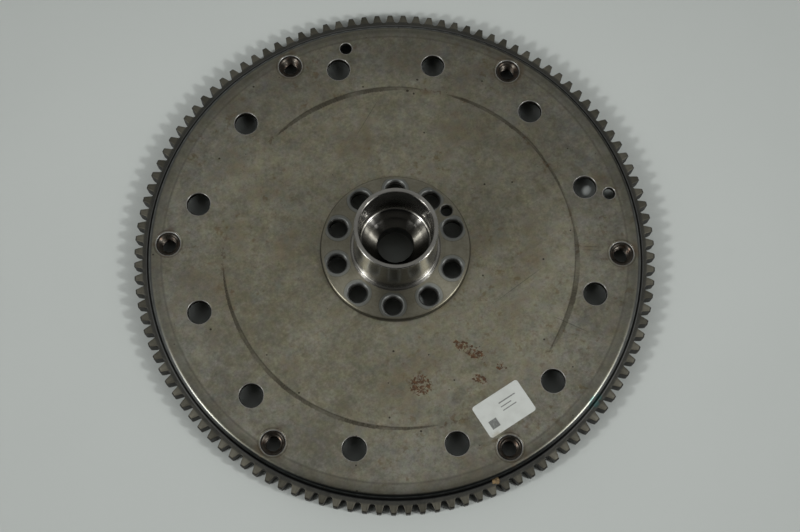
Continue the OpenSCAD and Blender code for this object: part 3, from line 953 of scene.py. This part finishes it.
# Painted shade: just inside the bend the front, and a narrow ring at the back, are made darker, as where the
# sheet starts to turn down.
painted_turn_shade = steel.radius.ramp(RIM_INSIDE - 2.0, RIM_INSIDE + 0.7) * sine.ramp(-0.5, -0.95)
painted_back_shade = steel.radius.ramp(RIM_INSIDE - 2.5, RIM_INSIDE - 1.5)
painted_back_shade = painted_back_shade * steel.radius.ramp(RIM_INSIDE + 0.3, RIM_INSIDE - 0.6)
painted_turn_shade = painted_turn_shade.most(painted_back_shade * sine.ramp(0.4, 0.9) * 0.5)
colour = steel.shade(colour, painted_turn_shade.ramp(0.0, 1.0, 1.0, 0.66, smooth=False))
bend_share = steel.radius.ramp(RIM_INSIDE + 0.3, RIM_INSIDE + 1.0)
oil_and_shade = steel.radius.ramp(RIM_INSIDE + 0.6, RIM_INSIDE + 1.6)
# Painted shade and dark reflection: black over the bend at the front, oil elsewhere.
oil_and_front_shade = sine.ramp(-0.60, -0.85).blend(GREY_OIL, BLACK_FRONT_SHADE)
back_right = (cosine + sine).ramp(1.05, 1.32)
oil_and_front_shade = (back_right * 0.8).blend(oil_and_front_shade, BROWN_OIL)
colour = (oil_and_shade * 0.93).blend(colour, oil_and_front_shade)
print("pressed edge: a greyer band, the pressing line and oil over the bend")

# %% [markdown]
# ### Plate steel: holes and nuts
# The walls of the holes are painted almost black, as the shade inside them, and the underside
# is darkened so that little light bounces under the plate. The foot of the hub's flange is
# painted dark, as contact shade. The edge of a hole is painted dark too, as shade, with one thin
# worn line of bare metal where hands and tools have touched it. Round each nut a brown halo is
# left from the heat. The six nuts lie at equal angles, so the angle is folded into one sixth of
# a turn, and one distance serves all six.

# %% Plate finish, holes and nuts
# Painted shade: the walls of the holes are made almost black.
painted_hole_shade = steel.z.ramp(PLATE_TOP - 0.5, PLATE_TOP - 0.8) * steel.z.ramp(PLATE_UNDER, PLATE_UNDER + 0.15)
painted_hole_shade = painted_hole_shade * steel.radius.ramp(RIM_INSIDE + 0.5, RIM_INSIDE)
colour = (painted_hole_shade * 0.95).blend(colour, (0.022, 0.020, 0.016, 1))
# Painted shade: the underside is made dark, so that little light bounces under the plate.
darkened_underside = steel.z.ramp(PLATE_UNDER + 0.1, PLATE_UNDER + 0.02)
colour = steel.shade(colour, darkened_underside.ramp(0.0, 1.0, 1.0, 0.35, smooth=False))
# Painted contact shade: a dark ring on the plate round the foot of the hub's flange.
painted_foot_shade = steel.radius.ramp(FLANGE_RADIUS + 1.0, FLANGE_RADIUS + 0.2)
colour = (painted_foot_shade * 0.75).blend(colour, (0.050, 0.045, 0.035, 1))

fold = steel.angle.math("WRAP", math.pi / 6, -math.pi / 6)
nut_x = steel.radius * fold.math("COSINE") - NUT_CIRCLE
nut_y = steel.radius * fold.math("SINE")
from_nut = (nut_x * nut_x + nut_y * nut_y).math("SQRT")
halo = from_nut.ramp(NUT_SPOT + 4.5, NUT_SPOT) * steel.noise(7, 3).ramp(0.42, 0.66)
colour = (halo * 0.6).blend(colour, (0.165, 0.115, 0.063, 1))
seam = abs(from_nut - NUT_SPOT).ramp(0.5, 0.1)
colour = (seam * 0.45).blend(colour, (0.09, 0.078, 0.06, 1))
on_edge = steel.mark("edge")
# Painted shade: the edge of each hole is made dark.
colour = (on_edge * 0.8).blend(colour, (0.040, 0.037, 0.030, 1))
worn = steel.z.ramp(PLATE_TOP - 0.28, PLATE_TOP - 0.12).most(from_nut.ramp(NUT_SPOT + 1.0, NUT_SPOT))
bare = on_edge * worn * steel.noise(5, 3).ramp(0.35, 0.60, 0.55, 1.0)
colour = (bare * 0.8).blend(colour, (0.46, 0.46, 0.44, 1))
print("holes and nuts: dark walls, worn edges and brown halos")

# %% [markdown]
# ### Plate steel: scrapes
# Something once rubbed the plate on a circle that isn't quite centred, and left dark crescents:
# widest in the middle, with one crisp side, hatched across and patchy along. Their ends are
# burnt brown. Each is a mask between 0 and 1, found where the distance from the circle is less
# than half a width that shrinks towards the ends. A few straight scratches are thin ellipses.
# The table below gives each crescent's middle and half turn in degrees, its greatest width, and
# 1 or -1 for a crisp side outside or inside.

# %% Plate finish, scrapes
SCRAPE_CENTRE, SCRAPE_RADIUS = (3.0, -2.0), 101.0
SCRAPES = ((109, 29, 3.0, 1), (53, 22, 2.2, 1), (-12, 23, 3.2, -1), (22, 20, 1.5, -1), (236, 52, 2.5, -1))
HATCH_ROUND, HATCH_OUT = 140.0, 0.25
from_circle = steel.reach(SCRAPE_CENTRE) - SCRAPE_RADIUS
hatch_place = add(steel.tree, "ShaderNodeCombineXYZ", {
    0: steel.angle * HATCH_ROUND, 1: steel.radius * HATCH_OUT,
})
hatch = steel.noise(1.0, 2, 0.6, hatch_place.outputs[0])
widths, lips, ends = [], [], []
for middle, half_turn, widest, crisp_side in SCRAPES:
    away = abs((steel.angle - math.radians(middle)).math("WRAP", math.pi, -math.pi))
    share = away * (1 / math.radians(half_turn))
    squared = share * share
    width = (squared * squared).ramp(1.0, 0.0, 0.0, widest, smooth=False)
    widths.append(width)
    lips.append(abs(from_circle - width * (0.45 * crisp_side)).ramp(0.6, 0.1) * width.ramp(0.3, 1.4))
    ends.append(share.ramp(0.7, 1.0) * share.ramp(1.35, 1.0))
width = functools.reduce(Field.most, widths)
ragged = from_circle + hatch * 1.2 + mottle - 1.1
scrape = (width * 0.5 - abs(ragged)).ramp(0.0, 0.5) * hatch.ramp(0.3, 0.7, 0.72, 1.0, smooth=False)
scrape = scrape * steel.noise(24, 3).ramp(0.36, 0.58, 0.35, 1.0)
colour = scrape.blend(colour, (0.098, 0.088, 0.065, 1))
colour = (functools.reduce(Field.most, lips) * 0.55).blend(colour, (0.060, 0.052, 0.040, 1))
burnt = functools.reduce(Field.most, ends) * abs(from_circle).ramp(2.6, 1.2) * mottle.ramp(0.50, 0.60)
colour = (burnt * 0.6).blend(colour, (0.115, 0.072, 0.040, 1))
SCRATCHES = (
    ((113, 3.6), (9, 0.35), -1), ((112, 1.6), (8, 0.3), -2), ((99, -42), (16, 0.4), -24),
    ((102, -14), (5, 0.3), 3), ((-18, 80), (20, 0.3), 62), ((70, -20), (26, 0.3), 38),
)
scratch = steel.spots(SCRATCHES).ramp(0.0, 0.5)
colour = (scratch * 0.45).blend(colour, (0.085, 0.077, 0.060, 1))
print("scrapes:", len(SCRAPES), "scratches:", len(SCRATCHES))

# %% [markdown]
# ### Plate steel: rust and specks
# Rust has broken out in a few patches. A patch with a soft edge would look sprayed on, so the
# mask is added to a clumpy noise and cut off sharply: crumbs lie close together in the middle
# and thin out towards the edge. Dark pits stand at their places, a finer pepper is scattered by
# chance, and a dab of green paint crosses from the plate to the ring. The shine comes last: rust
# is matt and no metal, while the drawn bend and the worn edges are smoother than the sheet.

# %% Plate finish, rust and specks
RUST = (
    ((42.5, -58), (17, 5.5), -29), ((60.2, -67.1), (5, 4.5), -30),
    ((48, -74.5), (8, 4.5), -20), ((15.4, -78.6), (10.5, 11), 20),
)
patch = steel.spots(RUST)
clumps = steel.noise(1.4, 4, 0.75) * 0.6 + steel.noise(4.2, 3, 0.6) * 0.4
crust = (patch.ramp(0.0, 0.6, -0.13, 0.05) + clumps - 0.52).ramp(0.0, 0.04)
rust = crust * patch.ramp(0.0, 0.06)
crumb = grain.ramp(0.35, 0.65).blend((0.062, 0.031, 0.013, 1), (0.118, 0.058, 0.022, 1))
colour = rust.blend(colour, crumb)

SMUDGE = ((36.5, -83.5), (8.5, 5.0), 62)
colour = steel.shade(colour, steel.spot(*SMUDGE).ramp(0.0, 0.7, 1.0, 0.80))
PITS = (
    ((0.1, -59.7), (0.9, 0.8)), ((19.7, -61.3), (0.6, 0.6)), ((34, -75.3), (0.6, 0.6)),
    ((5.3, 97.7), (1.2, 1.0)), ((9, 96), (0.8, 0.9)), ((-21, 99.6), (0.9, 0.7)),
    ((16, -104), (0.9, 0.8)), ((11, 105), (1.0, 0.8)),
)
PEPPER_CELL = 17.0
pepper = add(steel.tree, "ShaderNodeTexVoronoi", {
    "Vector": steel.place, "Scale": 1 / PEPPER_CELL,
}, voronoi_dimensions="2D")
lots = add(steel.tree, "ShaderNodeSeparateColor", {0: pepper.outputs["Color"]}).outputs
grain_size = Field(steel.tree, lots[0]).ramp(0.6, 1.0, 0.0, 0.75)
near = grain_size - Field(steel.tree, pepper.outputs["Distance"]) * PEPPER_CELL
speck = near.ramp(0.0, 0.3).most(steel.spots(PITS).ramp(0.0, 0.4))
colour = (speck * 0.85).blend(colour, (0.045, 0.036, 0.028, 1))
GREEN_DAB, GREEN = ((112.0, -85.0), (8.0, 4.4), 52.7), (0.045, 0.112, 0.104, 1)
dab = steel.spot(*GREEN_DAB).ramp(0.1, 0.5) * mottle.ramp(0.38, 0.55)
colour = (dab * 0.85).blend(colour, GREEN)
print("rust patches:", len(RUST), "pits:", len(PITS))

# %% Plate finish, shine
steel.feed("Base Color", colour)
steep = steel.radius.ramp(RIM_INSIDE + 1.8, RIM_INSIDE + 2.6)
steel.feed("Metallic", rust.ramp(0.0, 1.0, 0.9, 0.1, smooth=False) - bare * 0.6 - steep * 0.35)
rough = tone.ramp(0.3, 0.7, 0.40, 0.50, smooth=False) - bend_share * 0.14 - bare * 0.18 + rust * 0.3
steel.feed("Roughness", rough)
steel.bump(grain + rust * 0.8 - scrape * 0.5 - speck, 0.03, 0.5)
steel.dress(plate)

# %% [markdown]
# ### Hub steel
# The hub was turned and then polished. Turning leaves fine grooves that run round the axis and
# smear each reflection across them, so the shader is anisotropic: its tangent runs round the
# axis, and a quarter turn lays the smear across the grooves. The flange is duller and brown
# like the plate, with a blue-grey ring round each bolt hole where a bolt's head was clamped.
# The gap mark gives each point's distance from the nearest bolt hole, so one ring serves ten.
# Shade is painted on: the cone and bore inside the spigot, the walls of the bolt holes, the
# lower part of their sinks and the flange's outer wall are made dark.

# %% Hub finish, polish
turned_steel = Finish("hub_steel")
cloud, grain = turned_steel.noise(9, 4, 0.6), turned_steel.noise(1.2, 2)
section = add(turned_steel.tree, "ShaderNodeCombineXYZ", {
    0: turned_steel.radius, 1: turned_steel.z,
}).outputs[0]
fine_lines = turned_steel.noise(0.16, 2, 0.6, section)
broad_lines = turned_steel.noise(1.1, 3, 0.6, section)
on_flange = turned_steel.radius.ramp(RELIEF_RADIUS + 0.2, RELIEF_RADIUS + 0.8)
on_flange = on_flange * turned_steel.z.ramp(FLANGE_TOP + 0.7, FLANGE_TOP + 0.2)
polished = cloud.ramp(0.3, 0.7).blend((0.40, 0.39, 0.36, 1), (0.49, 0.48, 0.445, 1))
# Painted shade: the cone and bore inside the spigot are made much darker.
socket = turned_steel.radius.ramp(SOCKET_RADIUS - 0.8, SOCKET_RADIUS - 1.5)
polished = turned_steel.shade(polished, socket.ramp(0.0, 1.0, 1.0, 0.29, smooth=False))
print("hub: fine and broad turning lines, a bright spigot and a dark cone")

# %% Hub finish, flange
CLAMPED = 1.6
dull = (cloud * 0.7 + grain * 0.3).ramp(0.3, 0.7)
dull = dull.blend((0.290, 0.274, 0.207, 1), (0.408, 0.388, 0.308, 1))
gap = turned_steel.mark("gap")
clamped = gap.ramp(CLAMPED, CLAMPED - 0.3) * gap.ramp(-0.1, 0.0)
dull = (clamped * 0.7).blend(dull, (0.315, 0.337, 0.328, 1))
dull = (abs(gap - CLAMPED).ramp(0.4, 0.1) * 0.35).blend(dull, (0.10, 0.095, 0.075, 1))
edge = turned_steel.mark("edge")
dull = (edge * 0.8).blend(dull, (0.190, 0.200, 0.195, 1))
# Painted shade: the lower part of each sink is made dark.
painted_sink_shade = edge * turned_steel.z.ramp(FLANGE_TOP - 0.30, FLANGE_TOP - 0.50)
dull = (painted_sink_shade * 0.75).blend(dull, (0.060, 0.060, 0.055, 1))
# Painted shade: the walls of the bolt holes are made dark.
painted_bolt_hole_shade = turned_steel.z.ramp(FLANGE_TOP - BOLT_SINK, FLANGE_TOP - BOLT_SINK - 0.3)
painted_bolt_hole_shade = painted_bolt_hole_shade * turned_steel.radius.ramp(CELL_IN - 0.2, CELL_IN + 0.2)
painted_bolt_hole_shade = painted_bolt_hole_shade * turned_steel.radius.ramp(CELL_OUT + 0.2, CELL_OUT - 0.2)
dull = (painted_bolt_hole_shade * 0.85).blend(dull, (0.050, 0.045, 0.038, 1))
# Painted shade: the flange's outer wall is made dark.
wall = turned_steel.radius.ramp(FLANGE_RADIUS - 0.25, FLANGE_RADIUS - 0.05)
dull = (wall * 0.8).blend(dull, (0.045, 0.042, 0.034, 1))
lined = broad_lines.ramp(0.3, 0.7, 0.92, 1.08, smooth=False)
turned_steel.feed("Base Color", turned_steel.shade(on_flange.blend(polished, dull), lined))
turned_steel.feed("Metallic", edge.ramp(0.0, 1.0, 1.0, 0.55, smooth=False))
print("flange: clamped rings of", CLAMPED, "mm and dark walls")

# %% Hub finish, grooves
turned_steel.shader.inputs["Anisotropic"].default_value = 0.7
turned_steel.shader.inputs["Anisotropic Rotation"].default_value = 0.25
round_axis = add(turned_steel.tree, "ShaderNodeCombineXYZ", {0: turned_steel.y * -1.0, 1: turned_steel.x})
turned_steel.feed("Tangent", round_axis.outputs[0])
rough = on_flange.ramp(0, 1, 0.19, 0.38, smooth=False) + cloud * 0.06 + edge * 0.05 - socket * 0.08
turned_steel.feed("Roughness", rough)
turned_steel.bump(fine_lines, 0.004, 0.35)
turned_steel.dress(hub)

# %% [markdown]
# ### Gear steel
# The starter ring is dull: a thin grey-brown oxide lies on the upper faces of the teeth, each
# a little different, while flanks and roots are painted dark, for old oil and for the shade
# between the teeth. A mark on the mesh, 1 on the upper face and 0 elsewhere, keeps the two
# apart. The chamfer beside the bore is grey at the sides and painted black at the front, as
# shade and the dark room's reflection, like the plate's bend next to it.

# %% Gear finish
oxide = Finish("gear_steel")
cloud, grain = oxide.noise(3.5, 4, 0.7), oxide.noise(0.9, 2)
tone = oxide.mark("tone") * 0.4 + cloud * 0.4 + grain * 0.2
colour = tone.ramp(0.25, 0.75).blend((0.078, 0.074, 0.056, 1), (0.160, 0.152, 0.119, 1))
land = oxide.radius.ramp(root_radius + 1.0, root_radius - 0.2)
colour = (land * 0.8).blend(colour, (0.043, 0.044, 0.040, 1))
# Painted shade with old oil: flanks and roots are made dark, the upper faces keep the oxide.
colour = oxide.mark("face").blend((0.034, 0.031, 0.025, 1), colour)
lead = oxide.radius.ramp(RING_BORE + 1.7, RING_BORE + 1.1)
# Painted shade and dark reflection: the chamfer turns black towards the front.
at_front = oxide.y.math("DIVIDE", oxide.radius).ramp(-0.60, -0.85)
chamfer_grey_and_front_shade = at_front.blend((0.105, 0.108, 0.104, 1), (0.018, 0.019, 0.019, 1))
colour = (lead * 0.9).blend(colour, chamfer_grey_and_front_shade)
dab = oxide.spot(*GREEN_DAB).ramp(0.1, 0.5) * cloud.ramp(0.38, 0.55)
colour = (dab * 0.85).blend(colour, GREEN)
oxide.feed("Base Color", colour)
oxide.feed("Metallic", lead.ramp(0.0, 1.0, 0.6, 0.4, smooth=False))
oxide.feed("Roughness", cloud.ramp(0.3, 0.7, 0.45, 0.62, smooth=False) - lead * 0.18)
oxide.bump(grain + cloud, 0.03, 0.6)
oxide.dress(starter_ring)

# %% [markdown]
# ### Nut steel
# The nuts were heated when they were fixed, and their threads are dark with oil. A second noise
# brings out brown-red rust in places; one even brown would make the nuts look like copper.

# %% Nut finish
brown = Finish("nut_steel")
cloud, grain = brown.noise(3, 4, 0.65), brown.noise(0.7, 2)
colour = cloud.ramp(0.3, 0.7).blend((0.036, 0.032, 0.026, 1), (0.080, 0.071, 0.058, 1))
colour = (brown.noise(2.4, 3).ramp(0.50, 0.66) * 0.45).blend(colour, (0.085, 0.044, 0.026, 1))
brown.feed("Base Color", colour)
brown.shader.inputs["Metallic"].default_value = 0.8
brown.feed("Roughness", cloud.ramp(0.3, 0.7, 0.25, 0.42, smooth=False))
brown.bump(grain, 0.02, 0.5)
brown.dress(nuts)

# %% [markdown]
# ### Crust
# The flake on the seam is loose rust: matt, orange-brown and rough all over. Relief from a noise
# is enough for its crumbs, because the flake is only four millimetres wide.

# %% Crust finish
crust_finish = Finish("rust_crust")
cloud, grain = crust_finish.noise(1.6, 3), crust_finish.noise(0.5, 2)
colour = cloud.ramp(0.35, 0.65).blend((0.10, 0.066, 0.030, 1), (0.27, 0.185, 0.085, 1))
crust_finish.feed("Base Color", colour)
crust_finish.shader.inputs["Roughness"].default_value = 0.7
crust_finish.bump(grain, 0.15, 0.8)
crust_finish.dress(flake)

# %% [markdown]
# ### Paper
# Matt paper with faint fibres, a little grubby, with a few plain grey bars printed on it and a
# yellow stain at the corner beside the nut. The bars are formulas too: a bar is where a point's
# distance from the bar's middle, along the label and across it, is less than its half widths.

# %% Paper finish
paper = Finish("label_paper")
fibre, smudge = paper.noise(0.8, 3), paper.noise(6, 3)
colour = smudge.ramp(0.35, 0.75).blend((0.68, 0.71, 0.67, 1), (0.62, 0.645, 0.605, 1))
on_label = paper.local(LABEL_PLACE, (1, 1), LABEL_DEGREES)
label_axes = add(paper.tree, "ShaderNodeSeparateXYZ", {0: on_label}).outputs
along_label, across_label = Field(paper.tree, label_axes[0]), Field(paper.tree, label_axes[1])
BARS = (
    ((4.5, 4.0), (5.5, 0.45)), ((2.5, 1.6), (3.5, 0.4)),
    ((3.5, -0.6), (4.5, 0.4)), ((-9.0, -4.0), (2.6, 2.6)),
)
BAR_BLUR = 0.25
bars = []
for (u, v), (half_u, half_v) in BARS:
    inside_u = abs(along_label - u).ramp(half_u, half_u - BAR_BLUR)
    bars.append(inside_u * abs(across_label - v).ramp(half_v, half_v - BAR_BLUR))
ink = functools.reduce(Field.most, bars) * fibre.ramp(0.25, 0.5, 0.5, 0.85)
colour = ink.blend(colour, (0.10, 0.105, 0.10, 1))
corner_stain = paper.spot((58.5, -106.0), (7, 5), LABEL_DEGREES) * smudge.ramp(0.35, 0.6)
colour = (corner_stain * 0.6).blend(colour, (0.36, 0.31, 0.19, 1))
paper.feed("Base Color", colour)
paper.shader.inputs["Roughness"].default_value = 0.6
paper.bump(fibre, 0.01, 0.5)
paper.dress(label)
